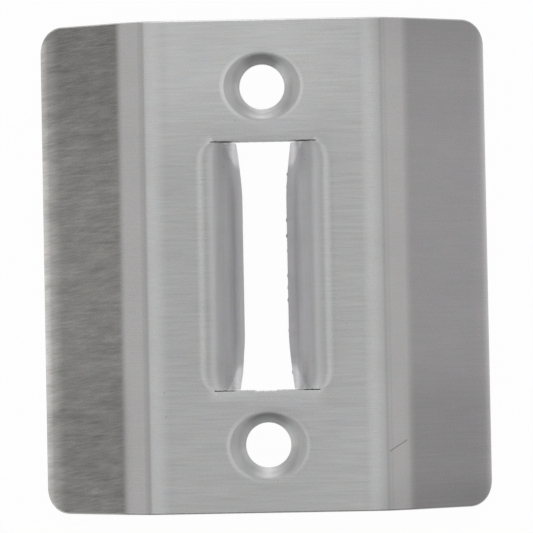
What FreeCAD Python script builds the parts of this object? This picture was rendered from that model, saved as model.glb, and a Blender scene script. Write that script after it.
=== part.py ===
import FreeCAD, Part
import math
import os

import Sketcher

NODE = "strike_plate"

# Driving sizes, in millimetres and degrees. Angles are measured from the flat panel.
SIZES = (
    ("plate_height", 69.85),      # along the fold lines
    ("panel_width", 33.1),        # between the two fold lines
    ("sheet_thickness", 1.9),
    ("fold_radius", 4.5),         # visible side of the fold between panel and band
    ("band_angle", 18.5),
    ("band_length", 2.64),        # flat band beside the fold
    ("second_radius", 12.0),      # visible side of the softer fold between band and lip
    ("lip_angle", 24.5),
    ("lip_length", 10.52),        # flat part of the lip
    ("edge_radius", 8.0),         # visible side of the rolled edge of the lip
    ("edge_angle", 38.0),
    ("corner_radius", 3.75),
    ("slot_length", 35.2),
    ("shoulder_width", 18.4),     # across the slot, between the lines where its flanges start
    ("shoulder_corner", 3.1),     # length of the rounded end of a shoulder line
    ("shoulder_inset", 2.1),      # how far that rounded end runs towards the slot
    ("flange_root", 0.5),         # flat strip outside the shoulder, drawn with the flange
    ("throat_share", 0.338),      # straight throat between the flanges, as a share of shoulder_width
    ("throat_end_share", 0.4217), # the same at the flanges' ends
    ("flare_length", 7.9),        # end stretch over which the throat widens
    ("flange_angle", 82.0),       # how far the middle of a flange is turned down
    ("flange_end_angle", 90.0),   # how far its ends are turned down
    ("shear_gap", 0.2),           # between a flange's end and the end wall of the slot
    ("hole_spacing", 50.8),
    ("hole_diameter", 6.4),
    ("sink_angle", 82.0),         # included angle of the countersink
    ("sink_diameter", 8.5),       # widest part of the cone, just under its rim
    ("rim_depth", 0.3),
    ("rim_width", 10.45),         # worn oval mouth of the countersink, across the plate
    ("rim_height", 9.35),         # the same, along the plate
    ("rim_round", 0.4),           # rounding of that mouth
    ("edge_break", 0.3),          # rounding of the other visible edges
)

# Points of a sketch edge, and the sketch's own origin and upright axis.
START, END, CENTRE = 1, 2, 3
ORIGIN, UPRIGHT = -1, -2

# Stations along the flared end of a flange, from its straight middle to its free end.
FLARE_STATIONS = (0.0, 0.3, 0.55, 0.72, 0.86, 0.94, 1.0)
FLARE_POWER = 1.5

NEAR = 0.01                       # two places closer than this are one
SHARP = math.radians(15)          # faces that meet at more than this have an edge between them
FACING = 0.9                      # share of a normal along an axis when a face looks that way

# Lengths worked out from the driving sizes.
HALF_HEIGHT = "(Sizes.plate_height / 2)"
HALF_SLOT = "(Sizes.slot_length / 2)"
FOLD_START = "(Sizes.panel_width / 2 - Sizes.fold_radius * tan(Sizes.band_angle / 2))"
HALF_WIDTH = (
    "(" + FOLD_START + " + Sizes.fold_radius * sin(Sizes.band_angle)"
    " + Sizes.band_length * cos(Sizes.band_angle)"
    " + Sizes.second_radius * (sin(Sizes.lip_angle) - sin(Sizes.band_angle))"
    " + Sizes.lip_length * cos(Sizes.lip_angle)"
    " + Sizes.edge_radius * (sin(Sizes.edge_angle) - sin(Sizes.lip_angle)))"
)
LIP_DROP = (
    "(Sizes.fold_radius * (1 - cos(Sizes.band_angle))"
    " + Sizes.band_length * sin(Sizes.band_angle)"
    " + Sizes.second_radius * (cos(Sizes.band_angle) - cos(Sizes.lip_angle))"
    " + Sizes.lip_length * sin(Sizes.lip_angle)"
    " + Sizes.edge_radius * (cos(Sizes.lip_angle) - cos(Sizes.edge_angle)))"
)
PANEL_RISE = "(" + LIP_DROP + " + Sizes.sheet_thickness * cos(Sizes.edge_angle))"
FLANGE_START = "(Sizes.shoulder_width / 2 + Sizes.flange_root)"
FLARE_START = "(" + HALF_SLOT + " - Sizes.flare_length)"
FLANGE_END = "(" + HALF_SLOT + " - Sizes.shear_gap)"
SINK_DEPTH = (
    "(Sizes.rim_depth"
    " + (Sizes.sink_diameter - Sizes.hole_diameter) / 2 / tan(Sizes.sink_angle / 2))"
)


def add_sizes(doc):
    """Spreadsheet with one named cell for each driving size."""
    sheet = doc.addObject("Spreadsheet::Sheet", "Sizes")
    for row, (name, size) in enumerate(SIZES, start=1):
        sheet.set("A%d" % row, name)
        sheet.set("B%d" % row, str(size))
        sheet.setAlias("B%d" % row, name)
    doc.recompute()
    return sheet


def value(owner, expression):
    """Number that an expression on the sheet gives now."""
    result = owner.evalExpression(expression)
    return float(getattr(result, "Value", result))


def origin_plane(body, role):
    """Origin plane of the body, found by its role."""
    return next(plane for plane in body.Origin.OriginFeatures if plane.Role == role)


def new_sketch(body, name, role, offset=None):
    """Sketch on an origin plane of the body, moved along the plane's normal by an expression."""
    sketch = body.newObject("Sketcher::SketchObject", name)
    sketch.AttachmentSupport = [(origin_plane(body, role), "")]
    sketch.MapMode = "FlatFace"
    if offset is not None:
        sketch.setExpression("AttachmentOffset.Base.z", offset)
    return sketch


def rule(sketch, *arguments):
    """Add one geometric constraint."""
    return sketch.addConstraint(Sketcher.Constraint(*arguments))


def size(sketch, name, expression, kind, *references):
    """Add one dimension and bind it to an expression."""
    now = value(sketch, expression)
    if kind == "Angle":
        now = math.radians(now)
    index = sketch.addConstraint(Sketcher.Constraint(kind, *references, now))
    sketch.renameConstraint(index, name)
    sketch.setExpression("Constraints." + name, expression)


def point(x, y):
    """Point in a sketch's plane."""
    return FreeCAD.Vector(x, y, 0)


def line(sketch, start, end):
    """Straight sketch edge."""
    return sketch.addGeometry(Part.LineSegment(start, end), False)


def arc(sketch, centre, radius, first, last):
    """Sketch arc, counter-clockwise between two angles in degrees."""
    circle = Part.Circle(centre, FreeCAD.Vector(0, 0, 1), radius)
    return sketch.addGeometry(Part.ArcOfCircle(circle, math.radians(first), math.radians(last)), False)


def draw_sheet_section(sketch, start, heading, chain):
    """Closed section of a bent sheet.

    The sheet's visible side starts at height zero and x = start, runs level in the direction of
    heading (1 or -1) and follows the chain of ("flat", length) and ("bend", radius, turn), each
    bend turning it further down. Bends keep one centre for both sides of the sheet.
    """
    thick = value(sketch, "Sizes.sheet_thickness")
    upper = point(value(sketch, start), 0)
    lower = upper - point(0, thick)
    first = line(sketch, upper, lower)
    rule(sketch, "Vertical", first)
    rule(sketch, "PointOnObject", first, START, ORIGIN)
    if upper.x == 0:
        rule(sketch, "PointOnObject", first, START, UPRIGHT)
    else:
        size(sketch, "start", start, "DistanceX", ORIGIN, START, first, START)
    size(sketch, "thickness", "Sizes.sheet_thickness", "Distance", first)

    angle = 0.0
    upper_end = (first, START)
    lower_end = (first, END)
    for number, step in enumerate(chain, start=1):
        tilt = math.radians(angle)
        inward = point(-heading * math.sin(tilt), -math.cos(tilt))
        if step[0] == "flat":
            length = value(sketch, step[1])
            along = point(heading * math.cos(tilt), -math.sin(tilt))
            top = line(sketch, upper, upper + along * length)
            base = line(sketch, lower, lower + along * length)
            if number == 1:
                rule(sketch, "Coincident", *upper_end, top, START)
                rule(sketch, "Coincident", *lower_end, base, START)
                rule(sketch, "Horizontal", top)
                rule(sketch, "Horizontal", base)
            else:
                rule(sketch, "Tangent", *upper_end, top, START)
                rule(sketch, "Tangent", *lower_end, base, START)
                rule(sketch, "Parallel", top, base)
            size(sketch, "length%d" % number, step[1], "Distance", top)
            upper = upper + along * length
            lower = lower + along * length
            near, far = START, END
        else:
            radius = value(sketch, step[1])
            turn = value(sketch, step[2])
            centre = upper + inward * radius
            turned = math.radians(angle + turn)
            outward = point(heading * math.sin(turned), math.cos(turned))
            span = (90 - angle - turn, 90 - angle) if heading > 0 else (90 + angle, 90 + angle + turn)
            top = arc(sketch, centre, radius, *span)
            base = arc(sketch, centre, radius - thick, *span)
            near, far = (END, START) if heading > 0 else (START, END)
            rule(sketch, "Tangent", *upper_end, top, near)
            rule(sketch, "Tangent", *lower_end, base, near)
            rule(sketch, "Coincident", top, CENTRE, base, CENTRE)
            size(sketch, "radius%d" % number, step[1], "Radius", top)
            size(sketch, "turn%d" % number, step[2], "Angle", top)
            angle += turn
            upper = centre + outward * radius
            lower = centre + outward * (radius - thick)
        upper_end = (top, far)
        lower_end = (base, far)

    last = line(sketch, upper, lower)
    rule(sketch, "Coincident", *upper_end, last, START)
    rule(sketch, "Coincident", *lower_end, last, END)
    if chain[-1][0] == "flat":
        rule(sketch, "Perpendicular", upper_end[0], last)
    else:
        rule(sketch, "PointOnObject", upper_end[0], CENTRE, last)


def draw_outline(sketch, corners):
    """Closed outline of level and upright edges through corners given as pairs of expressions."""
    places = [point(value(sketch, x), value(sketch, y)) for x, y in corners]
    edges = [line(sketch, here, places[(i + 1) % len(places)]) for i, here in enumerate(places)]
    for i, edge in enumerate(edges):
        rule(sketch, "Coincident", edge, END, edges[(i + 1) % len(edges)], START)
    for i, edge in enumerate(edges):
        after = places[(i + 1) % len(places)]
        rule(sketch, "Horizontal" if after.y == places[i].y else "Vertical", edge)
    return edges


def add_quarter_plate(body):
    """One quarter of the folded sheet: half the panel, the fold, the band, the lip and its roll."""
    sketch = new_sketch(body, "FoldedSection", "XZ_Plane")
    draw_sheet_section(sketch, "0", 1, (
        ("flat", FOLD_START),
        ("bend", "Sizes.fold_radius", "Sizes.band_angle"),
        ("flat", "Sizes.band_length"),
        ("bend", "Sizes.second_radius", "Sizes.lip_angle - Sizes.band_angle"),
        ("flat", "Sizes.lip_length"),
        ("bend", "Sizes.edge_radius", "Sizes.edge_angle - Sizes.lip_angle"),
    ))
    return add_pad(body, "FoldedSheet", sketch, HALF_HEIGHT)


def add_pad(body, name, sketch, length):
    """Pad a section along +Y."""
    pad = body.newObject("PartDesign::Pad", name)
    pad.Profile = sketch
    pad.Reversed = True
    pad.setExpression("Length", length)
    body.Document.recompute()
    return pad


def add_cut(body, name, sketch):
    """Cut a plan outline down through the whole sheet."""
    cut = body.newObject("PartDesign::Pocket", name)
    cut.Profile = sketch
    cut.Type = "ThroughAll"
    cut.Midplane = True
    body.Document.recompute()
    return cut


def round_lip_corner(body):
    """Rounded corner of the lip, cut square to the sheet at its rolled edge."""
    sketch = new_sketch(body, "CornerOutline", "XY_Plane", "-" + LIP_DROP)
    sketch.AttachmentOffset = FreeCAD.Placement(
        FreeCAD.Vector(0, 0, 0), FreeCAD.Rotation(FreeCAD.Vector(0, 1, 0), 1))
    sketch.setExpression("AttachmentOffset.Base.x", HALF_WIDTH)
    sketch.setExpression("AttachmentOffset.Rotation.Angle", "Sizes.edge_angle")
    top = value(sketch, HALF_HEIGHT)
    radius = value(sketch, "Sizes.corner_radius")
    rounding = arc(sketch, point(-radius, top - radius), radius, 0, 90)
    corners = (
        point(-radius, top),
        point(-radius, top + radius),
        point(radius, top + radius),
        point(radius, top - radius),
        point(0, top - radius),
    )
    edges = [line(sketch, here, there) for here, there in zip(corners, corners[1:])]
    rule(sketch, "Coincident", rounding, END, edges[0], START)
    rule(sketch, "Coincident", edges[3], END, rounding, START)
    for before, after in zip(edges, edges[1:]):
        rule(sketch, "Coincident", before, END, after, START)
    rule(sketch, "Vertical", edges[0])
    rule(sketch, "Horizontal", edges[1])
    rule(sketch, "Vertical", edges[2])
    rule(sketch, "Horizontal", edges[3])
    rule(sketch, "Vertical", rounding, CENTRE, rounding, END)
    rule(sketch, "Horizontal", rounding, CENTRE, rounding, START)
    rule(sketch, "PointOnObject", rounding, START, UPRIGHT)
    size(sketch, "half_height", HALF_HEIGHT, "DistanceY", ORIGIN, START, rounding, END)
    size(sketch, "radius", "Sizes.corner_radius", "Radius", rounding)
    size(sketch, "beyond_x", "Sizes.corner_radius", "DistanceX", rounding, START, edges[1], END)
    size(sketch, "beyond_y", "Sizes.corner_radius", "DistanceY", rounding, END, edges[1], END)
    return add_cut(body, "LipCorner", sketch)


def flare(station):
    """Share of the throat's widening that is reached at a station."""
    return station ** FLARE_POWER


def flange_section(body, number, station):
    """Section of the pressed-down flange at a station of its flared end.

    The sheet is slit along the middle of the slot and folded down unstretched, so a section is as
    long as its shoulder is far from the middle. The shoulder's rounded end is a quarter oval.
    """
    place = "(%s + %s * (%s - %s))" % (FLARE_START, station, FLANGE_END, FLARE_START)
    reach = "max(0; %s - %s + Sizes.shoulder_corner) / Sizes.shoulder_corner" % (place, HALF_SLOT)
    shoulder = "(Sizes.shoulder_width / 2 - Sizes.shoulder_inset * (1 - sqrt(1 - (%s) ^ 2)))" % reach
    widened = flare(station)
    share = "(Sizes.throat_share + %s * (Sizes.throat_end_share - Sizes.throat_share))" % widened
    opening = "(Sizes.shoulder_width / 2 * %s)" % share
    turn = "(Sizes.flange_angle + %s * (Sizes.flange_end_angle - Sizes.flange_angle))" % widened
    run = "(%s - %s)" % (shoulder, opening)
    radius = "((%s - %s * cos(%s)) / (sin(%s) - %s * pi / 180 * cos(%s)))" % (
        run, shoulder, turn, turn, turn, turn)
    straight = "(%s - %s * %s * pi / 180)" % (shoulder, radius, turn)
    sketch = new_sketch(body, "FlangeSection%d" % number, "XZ_Plane", "-" + place)
    draw_sheet_section(sketch, FLANGE_START, -1, (
        ("flat", FLANGE_START + " - " + shoulder),
        ("bend", radius, turn),
        ("flat", straight),
    ))
    return sketch


def cut_slot(body):
    """Window for the flange; its end wall is sheared only as far as the flange is turned down."""
    reach = "(Sizes.shoulder_corner - Sizes.shear_gap) / Sizes.shoulder_corner"
    wall_end = "(Sizes.shoulder_width / 2 - Sizes.shoulder_inset * (1 - sqrt(1 - (%s) ^ 2)))" % reach
    sketch = new_sketch(body, "SlotOutline", "XY_Plane")
    corners = (
        ("0", "0"),
        (FLANGE_START, "0"),
        (FLANGE_START, FLANGE_END),
        (wall_end, FLANGE_END),
        (wall_end, HALF_SLOT),
        ("0", HALF_SLOT),
    )
    edges = draw_outline(sketch, corners)
    rule(sketch, "Coincident", edges[0], START, ORIGIN, START)
    size(sketch, "root", FLANGE_START, "DistanceX", edges[0], START, edges[0], END)
    size(sketch, "flange_end", FLANGE_END, "DistanceY", edges[0], START, edges[1], END)
    size(sketch, "wall_end", wall_end, "DistanceX", edges[0], START, edges[3], END)
    size(sketch, "half_slot", HALF_SLOT, "DistanceY", edges[0], START, edges[3], END)
    return add_cut(body, "SlotWindow", sketch)


def press_flange(body):
    """Flange folded down beside the slot: straight along its middle, flared at its end."""
    sections = [flange_section(body, i, station) for i, station in enumerate(FLARE_STATIONS)]
    body.Document.recompute()
    middle = flange_section(body, len(sections), 0.0)
    middle.setExpression("AttachmentOffset.Base.z", None)
    middle.AttachmentOffset = FreeCAD.Placement()
    add_pad(body, "FlangeMiddle", middle, FLARE_START)
    end = body.newObject("PartDesign::AdditiveLoft", "FlangeEnd")
    end.Profile = sections[0]
    end.Sections = sections[1:]
    end.Ruled = False
    body.Document.recompute()
    return end


def sink_screw_hole(body):
    """Screw hole with its cone, turned about the hole's axis."""
    sketch = new_sketch(body, "SinkSection", "XZ_Plane", "-Sizes.hole_spacing / 2")
    radius = value(sketch, "Sizes.hole_diameter / 2")
    wide = value(sketch, "Sizes.sink_diameter / 2")
    rim = value(sketch, "Sizes.rim_depth")
    depth = value(sketch, SINK_DEPTH)
    under = value(sketch, "2 * Sizes.sheet_thickness")
    corners = (
        point(0, 0),
        point(0, -under),
        point(radius, -under),
        point(radius, -depth),
        point(wide, -rim),
        point(wide, 0),
    )
    edges = [line(sketch, here, corners[(i + 1) % len(corners)]) for i, here in enumerate(corners)]
    for i, edge in enumerate(edges):
        rule(sketch, "Coincident", edge, END, edges[(i + 1) % len(edges)], START)
    rule(sketch, "Coincident", edges[0], START, ORIGIN, START)
    for upright in (edges[0], edges[2], edges[4]):
        rule(sketch, "Vertical", upright)
    for level in (edges[1], edges[5]):
        rule(sketch, "Horizontal", level)
    size(sketch, "under", "2 * Sizes.sheet_thickness", "DistanceY", edges[0], END, edges[0], START)
    size(sketch, "radius", "Sizes.hole_diameter / 2", "DistanceX", edges[1], START, edges[1], END)
    size(sketch, "wide", "Sizes.sink_diameter / 2", "DistanceX", ORIGIN, START, edges[4], START)
    size(sketch, "rim", "Sizes.rim_depth", "DistanceY", edges[4], START, edges[4], END)
    size(sketch, "depth", SINK_DEPTH, "DistanceY", edges[3], START, edges[4], END)
    sink = body.newObject("PartDesign::Groove", "ScrewHole")
    sink.Profile = sketch
    sink.ReferenceAxis = (sketch, ["V_Axis"])
    sink.Angle = 360
    body.Document.recompute()
    return sink


def open_sink_rim(body):
    """Oval mouth that the brushing has worn into the top of the cone."""
    mouth = new_sketch(body, "RimMouth", "XY_Plane")
    middle = point(0, value(mouth, "Sizes.hole_spacing / 2"))
    half_width = value(mouth, "Sizes.rim_width / 2")
    half_height = value(mouth, "Sizes.rim_height / 2")
    oval = mouth.addGeometry(
        Part.Ellipse(middle + point(half_width, 0), middle + point(0, half_height), middle), False)
    mouth.exposeInternalGeometry(oval)
    long_axis, short_axis = oval + 1, oval + 2
    rule(mouth, "PointOnObject", oval, CENTRE, UPRIGHT)
    rule(mouth, "Horizontal", long_axis)
    size(mouth, "place", "Sizes.hole_spacing / 2", "DistanceY", ORIGIN, START, oval, CENTRE)
    size(mouth, "width", "Sizes.rim_width", "Distance", long_axis)
    size(mouth, "height", "Sizes.rim_height", "Distance", short_axis)

    seat = new_sketch(body, "RimSeat", "XY_Plane", "-Sizes.rim_depth")
    circle = seat.addGeometry(
        Part.Circle(middle, FreeCAD.Vector(0, 0, 1), value(seat, "Sizes.sink_diameter / 2")), False)
    rule(seat, "PointOnObject", circle, CENTRE, UPRIGHT)
    size(seat, "place", "Sizes.hole_spacing / 2", "DistanceY", ORIGIN, START, circle, CENTRE)
    size(seat, "radius", "Sizes.sink_diameter / 2", "Radius", circle)

    rim = body.newObject("PartDesign::SubtractiveLoft", "SinkRim")
    rim.Profile = mouth
    rim.Sections = [seat]
    rim.Ruled = True
    body.Document.recompute()
    return rim


def face_normal(face, place):
    """Outward normal of a face at a point on it."""
    return face.normalAt(*face.Surface.parameter(place))


def edges_where(shape, wanted):
    """Names of the edges that a test of middle point and neighbouring normals picks."""
    names = []
    for number, edge in enumerate(shape.Edges, start=1):
        middle = edge.valueAt((edge.FirstParameter + edge.LastParameter) / 2)
        normals = [face_normal(face, middle) for face in shape.ancestorsOfType(edge, Part.Face)]
        if len(normals) == 2 and normals[0].getAngle(normals[1]) > SHARP and wanted(middle, normals):
            names.append("Edge%d" % number)
    return names


def round_edges(body, name, base, wanted, radius):
    """Fillet on the picked edges of a feature."""
    fillet = body.newObject("PartDesign::Fillet", name)
    fillet.Base = (base, edges_where(base.Shape, wanted))
    fillet.setExpression("Radius", radius)
    body.Document.recompute()
    return fillet


def round_sink_rim(body, base):
    """Soft rim where the oval mouth meets the panel."""
    place = value(body, "Sizes.hole_spacing / 2")
    reach = value(body, "Sizes.rim_width / 2") + NEAR

    def wanted(middle, normals):
        on_panel = abs(middle.z) < NEAR and middle.x > NEAR
        return on_panel and math.hypot(middle.x, middle.y - place) < reach

    return round_edges(body, "RimRound", base, wanted, "Sizes.rim_round")


def break_visible_edges(body, base):
    """Brushed-down edges of the outline, the slot's end wall and the flange's free edge."""
    half_height = value(body, HALF_HEIGHT)
    half_slot = value(body, HALF_SLOT)
    outside = value(body, FOLD_START)

    def wanted(middle, normals):
        highest = max(normal.z for normal in normals)
        cut_plane = middle.x < NEAR or middle.y < NEAR
        outline = middle.y > half_height - NEAR or middle.x > outside
        end_wall = abs(middle.y - half_slot) < NEAR and abs(middle.z) < NEAR
        inward = min(normal.x for normal in normals) < -FACING
        downward = min(normal.z for normal in normals) < -FACING
        visible = highest > 0.5 and (outline or end_wall)
        return not cut_plane and (visible or (inward and downward))

    return round_edges(body, "EdgeBreak", base, wanted, "Sizes.edge_break")


def mirror(body, name, role):
    """Mirror the whole shape in an origin plane."""
    copy = body.newObject("PartDesign::Mirrored", name)
    copy.TransformMode = "Whole shape"
    copy.MirrorPlane = (origin_plane(body, role), [""])
    body.Tip = copy
    body.Document.recompute()
    return copy


def check_step(feature, before, grows):
    """Stop if a feature failed or left the volume as it was."""
    doc = feature.Document
    broken = [item.Label for item in doc.Objects if "Invalid" in item.State or "Error" in item.State]
    if broken or feature.Shape.isNull() or not feature.Shape.isValid():
        raise RuntimeError("%s failed: %s" % (feature.Label, broken))
    change = feature.Shape.Volume - before
    if (change > 0) != grows or abs(change) < 1e-3:
        raise RuntimeError("%s changed the volume by %.3f" % (feature.Label, change))
    return feature.Shape.Volume


def build_strike_plate(doc):
    """The folded plate: one quarter with all its features, mirrored across and along."""
    body = doc.addObject("PartDesign::Body", "StrikePlate")
    body.Label = NODE
    doc.recompute()
    volume = check_step(add_quarter_plate(body), 0.0, True)
    volume = check_step(round_lip_corner(body), volume, False)
    volume = check_step(cut_slot(body), volume, False)
    volume = check_step(press_flange(body), volume, True)
    volume = check_step(sink_screw_hole(body), volume, False)
    rim = open_sink_rim(body)
    volume = check_step(rim, volume, False)
    rounded = round_sink_rim(body, rim)
    volume = check_step(rounded, volume, False)
    volume = check_step(break_visible_edges(body, rounded), volume, False)
    volume = check_step(mirror(body, "AcrossMirror", "YZ_Plane"), volume, True)
    check_step(mirror(body, "AlongMirror", "XZ_Plane"), volume, True)
    body.setExpression("Placement.Base.z", PANEL_RISE)
    doc.recompute()
    return body


def check_body(body):
    """Stop unless the finished body is one valid closed solid."""
    shape = body.Shape
    if shape.isNull() or not shape.isValid() or len(shape.Solids) != 1:
        raise RuntimeError(body.Label + " is not one valid solid")
    for item in body.Document.Objects:
        if item.TypeId == "Sketcher::SketchObject" and not item.FullyConstrained:
            raise RuntimeError(item.Label + " is not fully constrained")


def main():
    """Build the plate and write its file."""
    doc = FreeCAD.newDocument("StrikePlate")
    add_sizes(doc)
    body = build_strike_plate(doc)
    check_body(body)
    os.makedirs("parts", exist_ok=True)
    body.Shape.exportStep("parts/%s.step" % body.Label)
    box = body.Shape.optimalBoundingBox()
    print("%s: %.2f x %.2f x %.2f mm, %.1f mm3" % (
        body.Label, box.XLength, box.YLength, box.ZLength, body.Shape.Volume))


main()
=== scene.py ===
import math

import bpy
import numpy as np
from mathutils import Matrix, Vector
from mathutils.geometry import delaunay_2d_cdt


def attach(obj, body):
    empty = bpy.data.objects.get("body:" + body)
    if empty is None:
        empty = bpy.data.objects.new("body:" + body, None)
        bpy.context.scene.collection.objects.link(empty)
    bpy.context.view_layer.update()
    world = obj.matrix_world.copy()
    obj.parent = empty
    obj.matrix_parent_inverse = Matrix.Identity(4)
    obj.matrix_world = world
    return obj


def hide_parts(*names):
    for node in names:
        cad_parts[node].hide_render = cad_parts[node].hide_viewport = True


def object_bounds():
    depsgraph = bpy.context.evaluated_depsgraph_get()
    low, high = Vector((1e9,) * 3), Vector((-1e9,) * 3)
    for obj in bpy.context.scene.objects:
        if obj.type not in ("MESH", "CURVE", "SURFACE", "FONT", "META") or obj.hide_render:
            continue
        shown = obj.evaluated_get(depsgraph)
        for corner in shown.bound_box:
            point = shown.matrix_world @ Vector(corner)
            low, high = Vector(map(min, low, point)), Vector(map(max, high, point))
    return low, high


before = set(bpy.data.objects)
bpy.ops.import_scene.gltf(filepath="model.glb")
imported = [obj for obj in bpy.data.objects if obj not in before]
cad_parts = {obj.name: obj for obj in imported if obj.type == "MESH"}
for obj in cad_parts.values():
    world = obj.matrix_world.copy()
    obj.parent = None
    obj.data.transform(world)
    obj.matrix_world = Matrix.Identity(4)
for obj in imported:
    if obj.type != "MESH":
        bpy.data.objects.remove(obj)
cad_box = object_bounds()

# Lengths are in millimetres and angles in radians.

# Section of the folded sheet, from the middle of the panel to the edge of the lip.
HALF_HEIGHT = 34.925
THICKNESS = 1.9
HALF_PANEL = 16.55
FOLD_SETBACK = 2.83
FOLD_SOFT_RADIUS = 36.0
FOLD_SOFT_ANGLE = math.radians(4.5)
FOLD_RADIUS = 3.6
BAND_ANGLE = math.radians(18.5)
BAND_LENGTH = 2.46
SECOND_RADIUS = 12.0
LIP_ANGLE = math.radians(24.5)
LIP_LENGTH = 9.02
EDGE_SOFT_LENGTH = 2.0
EDGE_SOFT_ANGLE = math.radians(4.0)
EDGE_LENGTH = 1.4
EDGE_ANGLE = math.radians(41.0)
CORNER_RADIUS = 3.75

# Slot and the flanges that are pressed down beside it.
HALF_SLOT = 17.6
SHOULDER = 9.2
SHOULDER_CORNER = 3.1
SHOULDER_INSET = 2.1
THROAT_SHARE = 0.338
THROAT_END_SHARE = 0.4217
FLARE_LENGTH = 7.9
FLARE_POWER = 1.5
FLANGE_ANGLE = math.radians(82.0)
FLANGE_END_ANGLE = math.radians(90.0)
LEAD_ANGLE = math.radians(7.0)
LEAD_END = 0.7
LEAD_LOSS = 0.98
SHEAR_GAP = 0.05
END_DIP = 0.12
END_DIP_REACH = 0.9
END_DIP_WIDTH = 7.0

# Screw holes with their cone, worn oval rim and dished surroundings.
HOLE_PLACE = 25.4
HOLE_RADIUS = 3.2
HOLE_BREAK = 0.06
HOLE_BREAK_SLOPE = math.radians(62.0)
SINK_SLOPE = math.radians(42.0)
SINK_RADIUS = 4.25
SINK_SOFT = 0.18
RIM_DEPTH = 0.3
RIM_HALF_WIDTH = 5.225
RIM_HALF_HEIGHT = 4.675
RIM_SOFT = 0.22
DISH_SLOPE = 0.065
DISH_REACH = 1.0
DISH_RUN = 0.45
DISH_CLEAR = 1.2
PATCH_RADIUS = 6.7
DISH_ROWS = 9
SPOKES = 73

# Rounding of the cut edges, and the rows of mesh on them.
EDGE_BREAK = 0.3
END_BREAK = 0.07
SHARP_BREAK = 0.03
FREE_EDGE_SHARPENS = 16.9
BACK_BREAK_SHARE = 0.2
ROUNDED_ROWS = 6
WALL_END_ROW = 10
RIM_ROWS = (0, 11)

FLARE_START = HALF_SLOT - FLARE_LENGTH
FLANGE_END = HALF_SLOT - SHEAR_GAP
FOLD_START = HALF_PANEL - FOLD_SETBACK
OUTER_PATH = (
    (FOLD_START, 0.0),
    (FOLD_SOFT_RADIUS * FOLD_SOFT_ANGLE, FOLD_SOFT_ANGLE),
    (FOLD_RADIUS * (BAND_ANGLE - FOLD_SOFT_ANGLE), BAND_ANGLE - FOLD_SOFT_ANGLE),
    (BAND_LENGTH, 0.0),
    (SECOND_RADIUS * (LIP_ANGLE - BAND_ANGLE), LIP_ANGLE - BAND_ANGLE),
    (LIP_LENGTH, 0.0),
    (EDGE_SOFT_LENGTH, EDGE_SOFT_ANGLE),
    (EDGE_LENGTH, EDGE_ANGLE - LIP_ANGLE - EDGE_SOFT_ANGLE),
)
BREAKS = np.cumsum([run for run, turn in OUTER_PATH])
SHEET_EDGE = float(BREAKS[-1])

BRUSHED, SHEARED, TURNED = 0, 1, 2     # places of the materials on the plate
SMALL_STEP = 1e-4                      # over which slopes of the sheet are measured
SAME_PLACE = 1e-6                      # places closer than this are one
WELD_STEPS = 1e4                       # steps in a millimetre that places are rounded to for welding
CORNER_CLEAR = 0.05                    # mesh lines closer than this to a corner of the outline stop short
UV_SPAN = 100.0                        # millimetres that the surface map's unit square holds


def follow(length, path):
    """Place and slope at a developed length along a path of (length, turn) steps."""
    x = np.zeros_like(length)
    z = np.zeros_like(length)
    angle = np.zeros_like(length)
    for number, (run, turn) in enumerate(path):
        step = length if number == len(path) - 1 else np.minimum(length, run)
        if np.any(turn != 0):
            radius = run / turn
            after = angle + step / radius
            x = x + radius * (np.sin(after) - np.sin(angle))
            z = z - radius * (np.cos(angle) - np.cos(after))
            angle = after
        else:
            x = x + step * np.cos(angle)
            z = z - step * np.sin(angle)
        length = length - step
    return x, z, angle


def ease(value, low, high):
    """Smooth step from 0 at low to 1 at high."""
    share = np.clip((value - low) / (high - low), 0.0, 1.0)
    return share * share * (3.0 - 2.0 * share)


def shoulder_at(v):
    """Distance from the middle to the line where the flange turns down."""
    reach = np.clip((v - HALF_SLOT + SHOULDER_CORNER) / SHOULDER_CORNER, 0.0, 0.999)
    return SHOULDER - SHOULDER_INSET * (1.0 - np.sqrt(1.0 - reach ** 2))


def flange_path(v, shoulder):
    """Start and steps of the flange's section: soft lead-in, arc and straight.

    The flange is as long as the shoulder is far from the middle, as the sheet isn't stretched.
    """
    station = np.clip((v - FLARE_START) / (FLANGE_END - FLARE_START), 0.0, 1.1) ** FLARE_POWER
    opening = SHOULDER * (THROAT_SHARE + station * (THROAT_END_SHARE - THROAT_SHARE))
    turn = FLANGE_ANGLE + station * (FLANGE_END_ANGLE - FLANGE_ANGLE)
    run = shoulder - opening
    radius = (run - shoulder * np.cos(turn)) / (np.sin(turn) - turn * np.cos(turn))
    soft = LEAD_ANGLE * (1.0 - LEAD_LOSS * ease(v, FLANGE_END - LEAD_END, FLANGE_END))
    lead = radius * soft
    path = (2.0 * lead, soft), (radius * (turn - soft), turn - soft), (shoulder - radius * turn, 0.0)
    return shoulder + lead, path


def end_dip(u, v):
    """How far the sheet is drawn down beside an end of the slot."""
    return END_DIP * np.exp(-np.hypot(np.maximum(u - END_DIP_WIDTH, 0.0), v - HALF_SLOT) / END_DIP_REACH)


def sheet(u, v, w):
    """Point of the folded sheet at u across, v along and w below its visible side."""
    u, v, w = np.broadcast_arrays(np.asarray(u, float), np.asarray(v, float), np.asarray(w, float))
    start, path = flange_path(v, shoulder_at(v))
    inner_x, inner_z, inner_angle = follow(np.maximum(start - u, 0.0), path)
    outer_x, outer_z, outer_angle = follow(u, OUTER_PATH)
    pressed = (u < start) & (v < HALF_SLOT - SHEAR_GAP / 2)
    x = np.where(pressed, start - inner_x + w * np.sin(inner_angle), outer_x - w * np.sin(outer_angle))
    z = np.where(pressed, inner_z - w * np.cos(inner_angle), outer_z - w * np.cos(outer_angle))
    return np.stack([x, v, z - end_dip(u, v)], axis=-1)


def unit(vectors):
    """Vectors of length 1."""
    return vectors / np.linalg.norm(vectors, axis=-1, keepdims=True)


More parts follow.
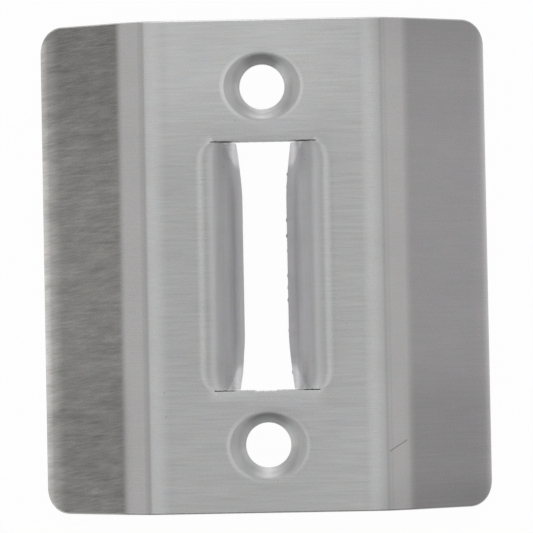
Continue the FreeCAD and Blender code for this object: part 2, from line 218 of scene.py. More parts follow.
def slopes(u, v, w):
    """Directions along u and v on the layer w below the visible side."""
    h = SMALL_STEP
    across = (sheet(u + h, v, w) - sheet(u - h, v, w)) / (2 * h)
    along = (sheet(u, v + h, w) - sheet(u, v - h, w)) / (2 * h)
    return across, along


def facing(u, v, w):
    """Normal of the layer w below the visible side."""
    return unit(np.cross(*slopes(u, v, w)))


class Skin:
    """Triangles of one quarter, with a normal, a surface place and a looseness for each corner."""

    def __init__(self):
        self.places = []
        self.normals = []
        self.flat = []
        self.loose = []
        self.faces = []
        self.kinds = []
        self.count = 0

    def add(self, places, normals, flat, loose=None):
        """Takes corners in and returns the number of the first one."""
        places = np.asarray(places).reshape(-1, 3)
        self.places.append(places)
        self.normals.append(np.asarray(normals).reshape(-1, 3))
        self.flat.append(np.asarray(flat).reshape(-1, 2))
        self.loose.append(np.zeros_like(places) if loose is None else loose.reshape(-1, 3))
        first = self.count
        self.count += len(places)
        return first

    def fill(self, triangles, places, normals, flat, kind, loose):
        """Triangles over their own corners."""
        self.faces.append(self.add(places, normals, flat, loose) + np.asarray(triangles))
        self.kinds.append(np.full(len(triangles), kind))

    def grid(self, places, normals, flat, kind, loose=None):
        """Triangles over rows and columns of corners."""
        rows, columns = places.shape[:2]
        first = self.add(places, normals, flat, loose)
        a = first + (np.arange(rows - 1)[:, None] * columns + np.arange(columns - 1)).ravel()
        self.faces.append(np.stack([a, a + 1, a + columns + 1], axis=1))
        self.faces.append(np.stack([a, a + columns + 1, a + columns], axis=1))
        self.kinds.append(np.full(2 * len(a), kind))


def steps(start, end, spacing):
    """Evenly spaced values from start to end."""
    return np.linspace(start, end, max(2, int(round(abs(end - start) / spacing)) + 1))


def join(*parts):
    """Values of several runs, without the repeated ends."""
    return np.concatenate([parts[0]] + [part[1:] for part in parts[1:]])


# Lines of the mesh across and along the sheet, closer together where it bends.
ACROSS = join(
    steps(0.0, SHOULDER + 1.0, 0.2),
    steps(SHOULDER + 1.0, FOLD_START, 0.8),
    steps(FOLD_START, BREAKS[2], 0.14),
    steps(BREAKS[2], BREAKS[3], 0.6),
    steps(BREAKS[3], BREAKS[4], 0.25),
    steps(BREAKS[4], BREAKS[5], 1.0),
    steps(BREAKS[5], SHEET_EDGE, 0.2),
)
ALONG = join(
    steps(0.0, FLARE_START, 0.97),
    steps(FLARE_START, FLANGE_END - 0.6, 0.22),
    steps(FLANGE_END - 0.6, FLANGE_END, 0.06),
    np.array([FLANGE_END, HALF_SLOT]),
    steps(HALF_SLOT, HALF_HEIGHT, 0.8),
)


def pairs(u, v):
    """Pairs of two values or rows of values."""
    u, v = np.broadcast_arrays(np.asarray(u, float), np.asarray(v, float))
    return np.stack([u, v], axis=-1)


def stretch(places, outward, radius, loose=(0.0, 0.0), pinned=(0, -1), rim_moves=False):
    """One side of the cut outline: places, outward directions, edge radii and looseness.

    Raggedness moves the loose places, but not the pinned ones, and the rim only where it's told to.
    """
    moves = np.tile([loose[0], loose[1], 0.0], (len(places), 1))
    moves[list(pinned)] = 0.0
    return {
        "at": places,
        "out": np.broadcast_to(np.asarray(outward, float), places.shape).copy(),
        "radius": np.broadcast_to(np.asarray(radius, float), places.shape[:1]).copy(),
        "loose": moves,
        "rim_loose": moves * rim_moves,
    }


def slot_chain():
    """Free edge of the flange, its end, the blind end of the shear and the slot's end wall."""
    corner = float(shoulder_at(np.array(FLANGE_END)))
    up = np.unique(np.concatenate([steps(0.0, FLARE_START, 0.24), ALONG[ALONG <= FLANGE_END + 1e-9]]))
    end_u = np.unique(np.concatenate([ACROSS[ACROSS < corner - CORNER_CLEAR], [corner]]))
    sharpened = ease(up, FREE_EDGE_SHARPENS, FLANGE_END)
    free_radius = SHARP_BREAK + (EDGE_BREAK - SHARP_BREAK) * (1.0 - sharpened)
    sharpened = ease(end_u, corner - 0.9, corner - 0.1)
    wall_radius = SHARP_BREAK + (END_BREAK - SHARP_BREAK) * (1.0 - sharpened)
    return [
        stretch(pairs(0.0, up), (-1, 0), free_radius, (-1.0, 0.0)),
        stretch(pairs(end_u, FLANGE_END), (0, 1), SHARP_BREAK),
        stretch(pairs(corner, np.array([FLANGE_END, HALF_SLOT])), (-1, 0), SHARP_BREAK),
        stretch(pairs(end_u[::-1], HALF_SLOT), (0, -1), wall_radius[::-1], (0.0, -1.0),
                pinned=(0,), rim_moves=True),
    ]


def outline_chain():
    """Top edge, rounded corner and the edge of the lip."""
    straight = SHEET_EDGE - CORNER_RADIUS
    top_u = np.unique(np.concatenate([ACROSS[ACROSS < straight - CORNER_CLEAR], [straight]]))
    angles = np.linspace(math.pi / 2, 0.0, 25)
    spokes = pairs(np.cos(angles), np.sin(angles))
    centre = np.array([straight, HALF_HEIGHT - CORNER_RADIUS])
    side = ALONG[ALONG < centre[1] - CORNER_CLEAR]
    side_v = np.concatenate([[centre[1]], side[::-1]])
    return [
        stretch(pairs(top_u, HALF_HEIGHT), (0, 1), EDGE_BREAK),
        stretch(centre + CORNER_RADIUS * spokes, spokes, EDGE_BREAK),
        stretch(pairs(SHEET_EDGE, side_v), (1, 0), EDGE_BREAK),
    ]


def mitre(chain):
    """Directions in which each place of a chain steps back from the edge, shared at the corners."""
    back = [side["out"].copy() for side in chain]
    for before, after in zip(range(len(chain)), range(1, len(chain))):
        here, there = chain[before]["out"][-1], chain[after]["out"][0]
        shared = here if np.allclose(here, there, atol=SAME_PLACE) else here + there
        back[before][-1] = shared
        back[after][0] = shared
    return back


def profile(radius):
    """Rows of the cut edge: inset, depth, share of the surface normal and share of the outward one."""
    rows = []
    for turn in np.radians(np.linspace(0.0, 90.0, ROUNDED_ROWS)):
        rows.append((radius * (1 - math.sin(turn)), radius * (1 - math.cos(turn)),
                     math.cos(turn), math.sin(turn)))
    for share in (0.33, 0.66):
        depth = radius + share * (THICKNESS - (1.0 + BACK_BREAK_SHARE) * radius)
        rows.append((np.zeros_like(radius), depth, 0.0, 1.0))
    small = BACK_BREAK_SHARE * radius
    for turn in np.radians((90.0, 135.0, 180.0)):
        rows.append((small * (1 - math.sin(turn)), THICKNESS - small * (1 + math.cos(turn)),
                     math.cos(turn), math.sin(turn)))
    rows.append((radius, np.full_like(radius, THICKNESS), -1.0, 0.0))
    return rows


def edge_strip(skin, side, back):
    """Rounded edge, wall and lower edge along one side of the outline. Returns its inner rim."""
    at, out = side["at"], side["out"]
    along = np.gradient(at, axis=0)
    walked = np.concatenate([[0.0], np.cumsum(np.linalg.norm(np.diff(at, axis=0), axis=1))])
    places, normals, flat, cut, loose = [], [], [], [], []
    for row, (inset, depth, up, outward) in enumerate(profile(side["radius"])):
        where = at - back * inset[:, None]
        u, v = where[:, 0], where[:, 1]
        across, lengthwise = slopes(u, v, depth)
        normal = unit(np.cross(across, lengthwise))
        run = across * along[:, :1] + lengthwise * along[:, 1:]
        inward = sheet(u, v, depth + SMALL_STEP) - sheet(u, v, depth - SMALL_STEP)
        wall = unit(np.cross(run, inward))
        lean = across * out[:, :1] + lengthwise * out[:, 1:]
        wall = wall * np.sign(np.sum(wall * lean, axis=1, keepdims=True))
        places.append(sheet(u, v, depth))
        normals.append(unit(up * normal + outward * wall))
        flat.append(where)
        cut.append(pairs(walked, depth))
        loose.append(side["rim_loose"] if row in RIM_ROWS else side["loose"])
    places, normals, flat, cut, loose = map(np.array, (places, normals, flat, cut, loose))
    upper = slice(0, ROUNDED_ROWS)
    middle = slice(ROUNDED_ROWS - 1, WALL_END_ROW + 1)
    lower = slice(WALL_END_ROW, None)
    skin.grid(places[upper], normals[upper], flat[upper], BRUSHED, loose[upper])
    skin.grid(places[middle], normals[middle], cut[middle], SHEARED, loose[middle])
    skin.grid(places[lower], normals[lower], flat[lower], BRUSHED, loose[lower])
    return at - back * side["radius"][:, None]


def edge_strips(skin, chain):
    """Cut edges along a whole chain. Returns their inner rims."""
    return [edge_strip(skin, side, back) for side, back in zip(chain, mitre(chain))]


def inside_points(border):
    """Grid places inside the border that keep clear of it, found in batches to save memory."""
    clearance = 0.09
    batches = 8
    grid = pairs(*np.meshgrid(ACROSS, ALONG)).reshape(-1, 2)
    runs = np.roll(border, -1, axis=0) - border
    kept = []
    for places in np.array_split(grid, batches):
        ahead = places[:, None] - border
        share = np.clip(np.sum(ahead * runs, axis=2) / np.sum(runs * runs, axis=1), 0, 1)
        gap = np.linalg.norm(share[..., None] * runs - ahead, axis=2).min(axis=1)
        crosses = (ahead[..., 1] < 0) != (ahead[..., 1] < runs[:, 1])
        rising = np.where(crosses, runs[:, 1], 1.0)
        beyond = ahead[..., 1] / rising * runs[:, 0] > ahead[..., 0]
        inside = np.count_nonzero(crosses & beyond, axis=1) % 2 == 1
        kept.append(places[inside & (gap > clearance)])
    return np.concatenate(kept)


def turning(start, run, first, last, shares):
    """Rows of radius and slope, while the slope turns from first to last over a run inwards."""
    return [(start - run * share, first + (last - first) * share) for share in shares]


def hole_profile(angle):
    """Radii, depths and slopes of the countersink along one spoke, from the panel inwards.

    The first DISH_ROWS rows belong to the brushed panel, and the others are turned.
    """
    mouth = 1.0 / math.hypot(math.cos(angle) / RIM_HALF_WIDTH, math.sin(angle) / RIM_HALF_HEIGHT)
    rim_slope = math.atan2(RIM_DEPTH, mouth - SINK_RADIUS)
    rows = [(PATCH_RADIUS, 0.0), (mouth + DISH_CLEAR, 0.0), (mouth + DISH_REACH, 0.0)]
    rows += turning(mouth + DISH_REACH, DISH_RUN, 0.0, DISH_SLOPE, np.linspace(0.2, 1.0, 5))
    rows += turning(mouth + RIM_SOFT, 2 * RIM_SOFT, DISH_SLOPE, rim_slope, np.linspace(0.0, 1.0, 9))
    rows += turning(SINK_RADIUS + SINK_SOFT, 2 * SINK_SOFT, rim_slope, SINK_SLOPE, np.linspace(0.0, 1.0, 7))
    cone = np.linspace(SINK_RADIUS - SINK_SOFT, HOLE_RADIUS + HOLE_BREAK, 5)[1:]
    rows += [(radius, SINK_SLOPE) for radius in cone]
    rows.append((HOLE_RADIUS, HOLE_BREAK_SLOPE))
    radii, tilts = np.array(rows).T
    falls = -np.diff(radii) * (np.tan(tilts[1:]) + np.tan(tilts[:-1])) / 2
    return radii, np.concatenate([[0.0], np.cumsum(falls)]), tilts


def screw_hole(skin):
    """Worn oval rim, countersink and shank hole on half a turn. Returns the patch's outer circle."""
    angles = np.radians(np.linspace(-90.0, 90.0, SPOKES))
    spokes = np.stack([np.cos(angles), np.sin(angles), 0 * angles], axis=-1)
    spokes[[0, -1], 0] = 0.0
    spokes[SPOKES // 2, 1] = 0.0
    radii, drops, tilts = np.array([hole_profile(angle) for angle in angles]).transpose(1, 2, 0)
    centre = np.array([0.0, HOLE_PLACE, 0.0])
    up = np.array([0.0, 0.0, 1.0])
    places = centre + radii[..., None] * spokes - drops[..., None] * up
    down = -np.cos(tilts)[..., None] * spokes - np.sin(tilts)[..., None] * up
    normals = unit(np.cross(np.gradient(places, axis=1), down))
    normals *= np.sign(normals[..., 2:3] + 1e-9)
    normals[:, [0, -1], 0] = 0.0
    normals[0] = up
    dips = end_dip(places[..., 0], places[..., 1])
    places[..., 2] -= dips
    normals[..., 1] -= dips / END_DIP_REACH
    normals = unit(normals)
    panel, sink = slice(0, DISH_ROWS), slice(DISH_ROWS - 1, None)
    round_place = pairs(radii, angles * SINK_RADIUS)
    skin.grid(places[panel], normals[panel], places[panel, :, :2], BRUSHED)
    skin.grid(places[sink], normals[sink], round_place[sink], TURNED)
    low = drops[-1]
    depths = [low + (THICKNESS - low) * share for share in (0.0, 0.5, 1.0)]
    bore = np.array([centre + HOLE_RADIUS * spokes - depth[:, None] * up for depth in depths])
    bore[..., 2] -= end_dip(bore[..., 0], bore[..., 1])
    bore_place = np.array([pairs(HOLE_RADIUS - depth, angles * HOLE_RADIUS) for depth in depths])
    skin.grid(bore, np.array([-spokes] * len(depths)), bore_place, TURNED)
    rings = np.linspace(HOLE_RADIUS, PATCH_RADIUS, 4)
    back = np.array([centre + radius * spokes - THICKNESS * up for radius in rings])
    dips = end_dip(back[..., 0], back[..., 1])
    back[..., 2] -= dips
    skin.grid(back, unit(pairs(0.0, dips / END_DIP_REACH)[..., [0, 1, 0]] - up), back[..., :2], BRUSHED)
    return places[0][:, :2]


def quarter():
    """One quarter of the plate: its cut edges, its screw hole and both sides of the sheet."""
    edge_margin = 0.4
    patch_margin = 0.2
    base_margin = 0.35
    skin = Skin()
    slot = slot_chain()
    slot_rims = edge_strips(skin, slot)
    outline_rims = edge_strips(skin, outline_chain())
    circle = screw_hole(skin)
    patch_low = HOLE_PLACE - PATCH_RADIUS - patch_margin
    patch_high = HOLE_PLACE + PATCH_RADIUS + patch_margin
    middle = [(0.0, v) for v in ALONG if HALF_SLOT + edge_margin < v < patch_low]
    above = [(0.0, v) for v in ALONG if patch_high < v < HALF_HEIGHT - edge_margin]
    base = [(u, 0.0) for u in ACROSS[::-1] if base_margin < u < SHEET_EDGE - base_margin]
    runs = slot_rims + [middle, circle, above] + outline_rims + [base]
    border = np.concatenate([np.asarray(run).reshape(-1, 2) for run in runs])
    moves = np.concatenate([side["rim_loose"] for side in slot])
    loose = np.concatenate([moves, np.zeros((len(border) - len(moves), 3))])
    fresh = np.linalg.norm(border - np.roll(border, 1, axis=0), axis=1) > SAME_PLACE
    border, loose = border[fresh], loose[fresh]
    places = np.concatenate([border, inside_points(border)])
    loose = np.concatenate([loose, np.zeros((len(places) - len(border), 3))])
    loop = [(i, (i + 1) % len(border)) for i in range(len(border))]
    found = delaunay_2d_cdt([Vector(place) for place in places], loop, [], 1, 1e-5)
    origin = np.array([group[0] for group in found[3]])
    triangles = origin[np.array(found[2])]
    u, v = places.T
    skin.fill(triangles, sheet(u, v, 0.0), facing(u, v, 0.0), places, BRUSHED, loose)
    skin.fill(triangles, sheet(u, v, THICKNESS), -facing(u, v, THICKNESS), places, BRUSHED, loose)
    return skin


# Burrs on the right flange's free edge: place along it, height and width.
FREE_EDGE_BURRS = (
    (13.2, 0.13, 0.22), (11.4, 0.09, 0.16), (6.6, 0.12, 0.2), (4.3, 0.15, 0.25), (2.1, 0.06, 0.15),
    (-1.4, 0.11, 0.2), (-3.1, 0.09, 0.3), (-4.9, 0.14, 0.2), (-9.2, 0.07, 0.2), (-15.3, 0.12, 0.2),
)
RIPPLE = 0.012              # height of the fine waves of the slot's edges
SPRUNG_HIGH_END = 0.08      # how far the upper end wall stands back over the flanges' ends
SPRUNG_LOW_END = 0.1        # the same at the lower end wall
TORN_DEPTH = 0.13           # how far the middle of the lower end wall is torn back
END_ZONE = 0.45             # places closer than this to the slot's ends belong to the end walls


def raggedness(places):
    """How far the cut edges of the slot stand out of their line, or in, in millimetres."""
    x, y, z = places.T
    ripple = RIPPLE * np.sin(9.1 * y + 4.0 * x) + RIPPLE * np.sin(23.0 * y + 1.3) * np.sin(3.1 * y)
    burrs = np.zeros_like(x)
    for at, height, width in FREE_EDGE_BURRS:
        burrs += height * np.exp(-((y - at) / width) ** 2)
    nick = 0.35 * np.interp(y, (-17, -15, -13, 17), (0, 0.2, 0, 0))
    free = ripple + np.where(x > 0, burrs, nick)
    torn = ease(x, -2.0, -1.5) * (1.0 - ease(x, 1.1, 1.6))
    low_end = -torn * (TORN_DEPTH + 0.035 * np.sin(8.3 * x + 0.6) * np.sin(3.7 * x)) + 0.01 * np.sin(6.0 * x)
    high_end = RIPPLE * np.sin(5.1 * x + 1.0)
    sprung = ease(np.abs(x), 3.7, 4.4) * np.where(y < 0, SPRUNG_LOW_END, SPRUNG_HIGH_END)
    end = np.where(y < 0, low_end, high_end) - sprung * np.clip(1.0 + z / THICKNESS, 0.0, 1.0)
    return np.where(np.abs(y) > HALF_SLOT - END_ZONE, end, free)


def whole(skin):
    """All four quarters, welded: vertices, triangles, corner normals, corner places and kinds."""
    places, normals, flat, loose = map(np.concatenate, (skin.places, skin.normals, skin.flat, skin.loose))
    triangles = np.concatenate(skin.faces)
    kinds = np.concatenate(skin.kinds)
    places[np.abs(places) < SAME_PLACE] = 0.0
    spots, directions, spread, faces = [], [], [], []
    for sx, sy in ((1, 1), (-1, 1), (-1, -1), (1, -1)):
        side = np.array([sx, sy, 1.0])
        smooth = places * side
        faces.append(triangles + len(spots) * len(places))
        spots.append(smooth + loose * side * raggedness(smooth)[:, None])
        directions.append(normals * side)
        spread.append(flat * side[:2])
    spots, directions, spread, faces = map(np.concatenate, (spots, directions, spread, faces))
    kinds = np.tile(kinds, 4)
    rounded = np.round(spots * WELD_STEPS).astype(int)
    first, name = np.unique(rounded, axis=0, return_index=True, return_inverse=True)[1:]
    name = name.reshape(-1)
    a, b, c = (spots[faces[:, k]] for k in range(3))
    area = np.cross(b - a, c - a)
    ids = name[faces]
    distinct = (ids[:, 0] != ids[:, 1]) & (ids[:, 1] != ids[:, 2]) & (ids[:, 2] != ids[:, 0])
    good = distinct & (np.linalg.norm(area, axis=1) > 1e-9)
    away = np.sum(area * directions[faces].sum(axis=1), axis=1) < 0
    faces[away] = faces[away][:, ::-1]
    corners = faces[good]
    return spots[first], name[corners], directions[corners.ravel()], spread[corners.ravel()], kinds[good]


def build_plate():
    """The plate's mesh, in metres and in the frame's place, with its map and its own normals."""
    vertices, faces, normals, flat, kinds = whole(quarter())
    vertices = vertices / 1000.0 + np.array([0.0, 0.0, cad_box[1].z])
    mesh = bpy.data.meshes.new("plate_sheet")
    mesh.from_pydata(vertices.tolist(), [], faces.tolist())
    mesh.polygons.foreach_set("material_index", kinds.astype(np.int32))
    mesh.polygons.foreach_set("use_smooth", np.ones(len(faces), dtype=bool))
    layer = mesh.uv_layers.new(name="sheet")
    layer.data.foreach_set("uv", (flat / UV_SPAN + 0.5).astype(np.float32).ravel())
    mesh.update()
    mesh.normals_split_custom_set(normals.tolist())
    plate = bpy.data.objects.new("plate_sheet", mesh)
    bpy.context.scene.collection.objects.link(plate)
    return plate


plate = build_plate()
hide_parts("strike_plate")
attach(plate, "root")


def node(tree, kind, **settings):
    """Shader node with its settings; a setting named after an input sets that input."""
    made = tree.nodes.new(kind)
    for name, setting in settings.items():
        if hasattr(made, name):
            setattr(made, name, setting)
        else:
            made.inputs[name.replace("_", " ")].default_value = setting
    return made


class Term:
    """Output of a shader node, which sums and products take like a number."""

    def __init__(self, socket):
        self.socket = socket
        self.tree = socket.id_data

    def apply(self, operation, *others):
        """Result of one operation on this term and other terms or numbers."""
        made = node(self.tree, "ShaderNodeMath", operation=operation)
        for socket, given in zip(made.inputs, (self,) + others):
            feed(socket, given)
        return Term(made.outputs[0])

    def __add__(self, other):
        return self.apply("ADD", other)

    def __sub__(self, other):
        return self.apply("SUBTRACT", other)

    def __mul__(self, other):
        return self.apply("MULTIPLY", other)

    def __lt__(self, other):
        return self.apply("LESS_THAN", other)

    def __abs__(self):
        return self.apply("ABSOLUTE")


def feed(socket, given):
    """Sets a socket to a number or vector, or links a term to it."""
    if isinstance(given, Term):
        given.tree.links.new(given.socket, socket)
    else:
        socket.default_value = given


def vector(operation, first, *others, scale=None):
    """Result of one vector operation on a term and other terms or vectors."""
    made = node(first.tree, "ShaderNodeVectorMath", operation=operation)
    for socket, given in zip(made.inputs, (first,) + others):
        feed(socket, given)
    if scale is not None:
        feed(made.inputs["Scale"], scale)
    return Term(made.outputs["Value" if operation in ("DISTANCE", "DOT_PRODUCT") else "Vector"])


def split(place):
    """The parts of a vector."""
    parts = node(place.tree, "ShaderNodeSeparateXYZ")
    feed(parts.inputs[0], place)
    return [Term(output) for output in parts.outputs]


def fade(value, low, high, first=0.0, last=1.0):
    """Smooth change from first at low to last at high."""
    made = node(value.tree, "ShaderNodeMapRange", interpolation_type="SMOOTHSTEP",
                From_Min=low, From_Max=high, To_Min=first, To_Max=last)
    feed(made.inputs["Value"], value)
    return Term(made.outputs[0])


def ramp(value, half_span, stops):
    """Grey level by straight steps between stops of (value, level), within half a span of zero."""
    made = node(value.tree, "ShaderNodeValToRGB")
    made.color_ramp.interpolation = "LINEAR"
    points = made.color_ramp.elements
    while len(points) < len(stops):
        points.new(0.5)
    for point, (at, grey) in zip(points, stops):
        point.position = 0.5 + 0.5 * at / half_span
        point.color = (grey, grey, grey, 1.0)
    feed(made.inputs[0], value * (0.5 / half_span) + 0.5)
    return Term(made.outputs[0])


def noise(place, length, width, turn=0.0, detail=2.0, seed=0.0):
    """Noise node whose marks are about length by width millimetres, turned by some degrees."""
    mapping = node(place.tree, "ShaderNodeMapping", vector_type="TEXTURE", Location=(seed, 2.0 * seed, 0.0),
                   Rotation=(0.0, 0.0, math.radians(turn)), Scale=(length, width, 1.0))
    feed(mapping.inputs["Vector"], place)
    made = node(place.tree, "ShaderNodeTexNoise", noise_dimensions="2D", Scale=1.0, Detail=detail)
    feed(made.inputs["Vector"], Term(mapping.outputs[0]))
    return made


def grain(place, length, width, **settings):
    """Noise that lies about zero."""
    return Term(noise(place, length, width, **settings).outputs[0]) - 0.5


def spot(place, centre, radius):
    """1 in a small round mark, 0 outside it."""
    away = vector("DISTANCE", place, (centre[0], centre[1], 0.0))
    return fade(away, radius, 0.35 * radius)


def scratch(place, start, end, width):
    """1 on a thin straight scratch, 0 beside it."""
    run = Vector((end[0] - start[0], end[1] - start[1], 0.0))
    offset = vector("SUBTRACT", place, (start[0], start[1], 0.0))
    along = vector("DOT_PRODUCT", offset, run.normalized())
    aside = vector("DOT_PRODUCT", offset, Vector((-run.y, run.x, 0.0)).normalized())
    begun = fade(along, -0.2, 0.3)
    ended = fade(along, run.length + 0.2, run.length - 0.3)
    return fade(abs(aside), width, 0.2 * width) * (begun * ended)


# Specks on the brushed side: place and radius.
SPECKS = (
    ((-3.9, 20.6), 0.14), ((-14.6, -17.8), 0.12), ((-14.4, -21.1), 0.13), ((-8.6, 12.3), 0.08),
    ((11.3, -8.4), 0.08), ((5.2, -30.1), 0.09), ((-12.0, 5.1), 0.07),
)
SCRATCH = ((17.0, -26.6), (19.8, -25.0), 0.12)
RIM_BAND = 0.5          # width of the brighter band along the plate's outer edges
SLOT_LIMIT = 17.58      # between the flanges' ends and the slot's end walls

# Painted light added across the flanges: place across the plate and level.
FLANGE_PAINTED_LIGHT = (
    (-8.4, 0.0), (-7.0, 0.18), (-5.6, 0.32), (-4.2, 0.55), (-2.6, 0.26), (0.0, 0.3), (1.0, 0.1),
    (2.6, 0.25), (4.2, 0.7), (5.4, 0.28), (7.0, 0.3), (7.8, 0.06), (8.4, 0.0),
)


def brushed_marks(place):
    """1 in a speck or scratch, 0 elsewhere."""
    marks = scratch(place, *SCRATCH)
    for centre, radius in SPECKS:
        marks = marks.apply("MAXIMUM", spot(place, centre, radius))
    return marks


def painted_light_and_shade(u, v, wide, left_lip, right_lip):
    """Painted light and shade on the sheet: near its ends, on the lips, along the folds, at the right
    corners and below the slot.
    """
    upper, lower = fade(v, 12.0, 27.0), fade(v, -12.0, -22.0)
    right_side = fade(u, 12.5, 16.5)
    # Painted light towards the top and bottom ends of the panel.
    ends = upper * fade(u, 14.0, 2.0, 0.08, 0.22) + lower * 0.05
    # Painted shade on the lips towards the top and bottom.
    lip_shade = upper * left_lip * -0.16 + upper * right_lip * -0.06 + lower * fade(wide, 19.0, 21.0) * -0.13
    # Painted shade: a dark line along each fold.
    fold_line_shade = fade(wide, 16.65, 16.95) * fade(wide, 17.75, 17.3)
    # Painted shade towards the right side's top and bottom corners.
    corners = (fade(v, 26.0, 34.5) + fade(v, -29.0, -34.0)) * right_side
    # Painted highlight on the panel just below the slot's lower end.
    highlight_below_slot = fade(v, -20.2, -17.8) * (v < -SLOT_LIMIT) * fade(wide, 8.8, 6.4)
    return ends * fade(wide, 16.2, 12.5) + lip_shade + fold_line_shade * -0.11 + corners * -0.1 + highlight_below_slot * 0.12


def brushed(place):
    """Satin steel with fine straight grain across the plate."""
    u, v = split(place)[:2]
    wide, high = abs(u), abs(v)
    pressed = fade(wide, 8.6, 5.4) * fade(high, SLOT_LIMIT + 0.01, SLOT_LIMIT - 0.01)
    across = (pressed * -1.0 + 1.0) * fade(wide, 16.6, 15.0, 0.3, 1.0)
    left_lip, right_lip = fade(u, -20.3, -21.3), fade(u, 20.3, 21.3)
    beyond_fold = fade(wide, 16.4, 17.4)
    flange_end = fade(high, 13.6, 15.0)
    # Painted glint: a brighter triangle near each flange's free edge at its ends.
    painted_glint = fade(wide + high * -0.69 + 6.76, 0.35, -0.35) * pressed * flange_end
    side_rim = fade(wide, SHEET_EDGE - RIM_BAND, SHEET_EDGE)
    rim = side_rim.apply("MAXIMUM", fade(high, HALF_HEIGHT - RIM_BAND, HALF_HEIGHT))

    fine = grain(place, 3.6, 0.17, detail=1.0)
    long_lines = grain(place, 9.0, 0.36, detail=1.5, seed=7.0)
    slanted = grain(place, 2.2, 0.26, turn=9.0, detail=1.5, seed=13.0)
    drawn = grain(place, 0.6, 9.0, detail=2.0, seed=17.0)
    mottle = grain(place, 0.5, 0.5, detail=3.0, seed=23.0)
    broad = grain(place, 9.0, 5.0, detail=1.0, seed=5.0)
    clouds = grain(place, 5.0, 1.7, turn=9.0, detail=2.0, seed=29.0)
    lines = fine * across * 0.12 + long_lines * across * 0.19 + slanted * left_lip * 0.4
    lines = lines + drawn * pressed * 0.16 + mottle * pressed * 0.12

    dents = brushed_marks(place)
    pitted = grain(place, 0.28, 0.28, detail=0.0, seed=41.0)
    pits = fade(pitted, -0.3, -0.38) * pressed * fade(high, 11.0, 14.0)
    # Painted light across the flanges, by their place across the plate.
    flange_painted_light = ramp(u, 10.0, FLANGE_PAINTED_LIGHT) * (high < SLOT_LIMIT)
    level = lines + broad * 0.06 + rim * 0.08 + clouds * left_lip * 0.45 + flange_painted_light + painted_glint * 0.3 + 1.0
    level = (level + painted_light_and_shade(u, v, wide, left_lip, right_lip)).apply("MINIMUM", 1.75)
    return {
        "level": level * (dents.apply("MAXIMUM", pits) * -0.35 + 1.0) * 0.52,
        "roughness": pressed * 0.34 + long_lines * 0.1 + mottle * 0.06 + rim * -0.08 + painted_glint * -0.1 + 0.27,
        "height": lines * 0.01 + dents * -0.02,
        "red": left_lip * 0.002 + right_lip * 0.007 + beyond_fold * 0.02 + pressed * 0.008,
        "blue": left_lip * -0.029 + right_lip * 0.017 + beyond_fold * -0.004 + pressed * 0.015,
    }


def sheared(place):
    """Cut edge of the sheet: a smooth upper part with upright lines and a torn, dull lower part."""
    depth = abs(split(place)[1])
    wander = grain(place, 1.2, 4.0, detail=2.0, seed=3.0) * 0.7
    upright = grain(place, 0.1, 1.6, detail=2.0, seed=9.0)
    torn = fade(depth + wander, 0.85, 1.0)
    broken = grain(place, 0.16, 0.12, detail=4.0, seed=19.0) * torn
    return {
        "level": upright * 0.14 + broken * 0.3 + torn * -0.08 + 0.38,
        "roughness": torn * 0.22 + upright * 0.1 + 0.28,
        "height": upright * 0.012 + broken * 0.06,
    }


def turned(place):
    """Countersink and shank hole, with the fine rings left by the cutter."""
    rings = grain(place, 0.12, 7.0, detail=3.0, seed=3.0)
    chatter = grain(place, 0.5, 0.9, detail=2.0, seed=11.0)
    # Painted light: the inner part of the cone and the bore are made brighter.
    deep_painted_light = fade(abs(split(place)[0]), 4.2, 3.3, 0.0, 0.15)
    return {
        "level": rings * 0.24 + chatter * 0.05 + deep_painted_light + 0.5,
        "roughness": rings * 0.12 + 0.33,
        "height": rings * 0.008 + chatter * 0.004,
    }


def steel(name, surface, anisotropy, rotation):
    """Metal material with the grain's direction from the sheet's own map.

    The surface gives a grey level, a roughness, a height in millimetres and how much more red and
    blue than green there is.
    """
    material = bpy.data.materials.new(name)
    material.use_nodes = True
    tree = material.node_tree
    tree.nodes.clear()
    metal = node(tree, "ShaderNodeBsdfPrincipled", Metallic=1.0, Anisotropic=anisotropy,
                 Anisotropic_Rotation=rotation)
    tangent = node(tree, "ShaderNodeTangent", direction_type="UV_MAP", uv_map="sheet")
    layer = Term(node(tree, "ShaderNodeUVMap", uv_map="sheet").outputs[0])
    place = vector("MULTIPLY_ADD", layer, (UV_SPAN, UV_SPAN, 0.0), (-UV_SPAN / 2, -UV_SPAN / 2, 0.0))
    found = surface(place)

    tints = Term(noise(place, 2.6, 1.8, detail=1.0, seed=31.0).outputs["Color"])
    tint = vector("MULTIPLY_ADD", tints, (0.05, 0.03, 0.05), (0.974, 0.985, 0.977))
    cast = node(tree, "ShaderNodeCombineXYZ")
    feed(cast.inputs[0], found.get("red", 0.0))
    feed(cast.inputs[2], found.get("blue", 0.0))
    tint = vector("ADD", tint, Term(cast.outputs[0]))
    bump = node(tree, "ShaderNodeBump", Strength=1.0, Distance=0.001)
    feed(bump.inputs["Height"], found["height"])
    feed(metal.inputs["Base Color"], vector("SCALE", tint, scale=found["level"]))
    feed(metal.inputs["Roughness"], found["roughness"])
    feed(metal.inputs["Normal"], Term(bump.outputs[0]))
    feed(metal.inputs["Tangent"], Term(tangent.outputs[0]))
    out = node(tree, "ShaderNodeOutputMaterial")
    feed(out.inputs[0], Term(metal.outputs[0]))
    return material


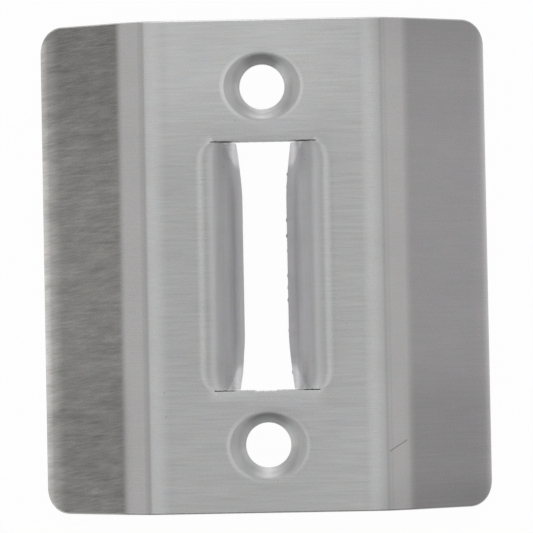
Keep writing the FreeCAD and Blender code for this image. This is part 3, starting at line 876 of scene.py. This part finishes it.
# Light by its direction: degrees across the plate from straight above, and level.
LIGHT_ACROSS = (
    (-90, 1.5), (-80, 0.98), (-66, 0.78), (-53, 0.21), (-44, 0.78), (-36, 0.72), (-28, 0.7), (-18, 0.6),
    (-14, 0.74), (-11, 1.02), (-8, 0.97), (-6, 0.74), (-3, 0.63), (0, 0.6), (2, 0.63), (4.5, 1.0),
    (7, 1.02), (10, 0.76), (14, 0.6), (20, 0.66), (28, 0.76), (36, 0.84), (44, 0.6), (53, 0.48),
    (66, 0.54), (80, 0.75), (90, 1.4),
)
# The same along the plate: the direction's share along +Y, and a factor.
LIGHT_ALONG = (
    (-1.0, 0.15), (-0.8, 0.42), (-0.55, 0.8), (-0.3, 0.92), (-0.1, 0.98), (0.0, 1.03), (0.12, 1.2),
    (0.3, 1.1), (0.55, 0.9), (0.8, 1.3), (1.0, 2.6),
)


def world_light():
    """Plain soft studio light that varies with its direction across and along the plate."""
    world = bpy.data.worlds.new("studio")
    world.use_nodes = True
    bpy.context.scene.world = world
    tree = world.node_tree
    tree.nodes.clear()
    x, y, z = split(Term(node(tree, "ShaderNodeTexCoord").outputs["Generated"]))
    degrees = x.apply("ARCTAN2", z) * (180 / math.pi)
    along = ramp(y, 1.0, LIGHT_ALONG)
    slanting = fade(x * y, -0.13, 0.13, 0.88, 1.2)
    sideways = fade(abs(x), 0.5, 0.8)
    light = ramp(degrees, 90.0, LIGHT_ACROSS) * (along + (slanting - along) * sideways)
    background = node(tree, "ShaderNodeBackground", Strength=1.0)
    feed(background.inputs["Color"], light)
    out = node(tree, "ShaderNodeOutputWorld")
    feed(out.inputs[0], Term(background.outputs[0]))


def floor_plane():
    """Pale floor on which the plate lies, evenly white to the camera."""
    material = bpy.data.materials.new("pale_floor")
    material.use_nodes = True
    tree = material.node_tree
    tree.nodes.clear()
    matt = node(tree, "ShaderNodeBsdfDiffuse", Color=(0.8, 0.8, 0.8, 1.0))
    white = node(tree, "ShaderNodeEmission", Strength=1.0)
    path = node(tree, "ShaderNodeLightPath")
    camera, through, glossy = (Term(path.outputs[name]) for name in
                               ("Is Camera Ray", "Is Transmission Ray", "Is Glossy Ray"))
    seen = camera.apply("MAXIMUM", through).apply("MAXIMUM", glossy * 0.65)
    mix = node(tree, "ShaderNodeMixShader")
    feed(mix.inputs[0], seen * 0.97)
    feed(mix.inputs[1], Term(matt.outputs[0]))
    feed(mix.inputs[2], Term(white.outputs[0]))
    out = node(tree, "ShaderNodeOutputMaterial")
    feed(out.inputs[0], Term(mix.outputs[0]))
    reach = 3.0
    corners = [(-reach, -reach, 0), (reach, -reach, 0), (reach, reach, 0), (-reach, reach, 0)]
    mesh = bpy.data.meshes.new("floor")
    mesh.from_pydata(corners, [], [(0, 1, 2, 3)])
    floor = bpy.data.objects.new("floor", mesh)
    floor.data.materials.append(material)
    bpy.context.scene.collection.objects.link(floor)


def place_camera():
    """Camera straight above the plate, but for a degree or so."""
    data = bpy.data.cameras.new("camera")
    data.lens = 164.5
    data.sensor_width = 36.0
    data.clip_start = 0.01
    data.clip_end = 20.0
    camera = bpy.data.objects.new("camera", data)
    camera.location = (0.0030, -0.0075, 0.35220)
    camera.rotation_euler = (math.radians(1.2165), math.radians(0.4941), math.radians(-1.0945))
    bpy.context.scene.collection.objects.link(camera)
    bpy.context.scene.camera = camera


plate.data.materials.append(steel("satin_steel", brushed, 0.85, 0.25))
plate.data.materials.append(steel("sheared_steel", sheared, 0.5, 0.0))
plate.data.materials.append(steel("turned_steel", turned, 0.75, 0.0))
world_light()
floor_plane()
place_camera()
bpy.context.scene.view_settings.view_transform = "Standard"
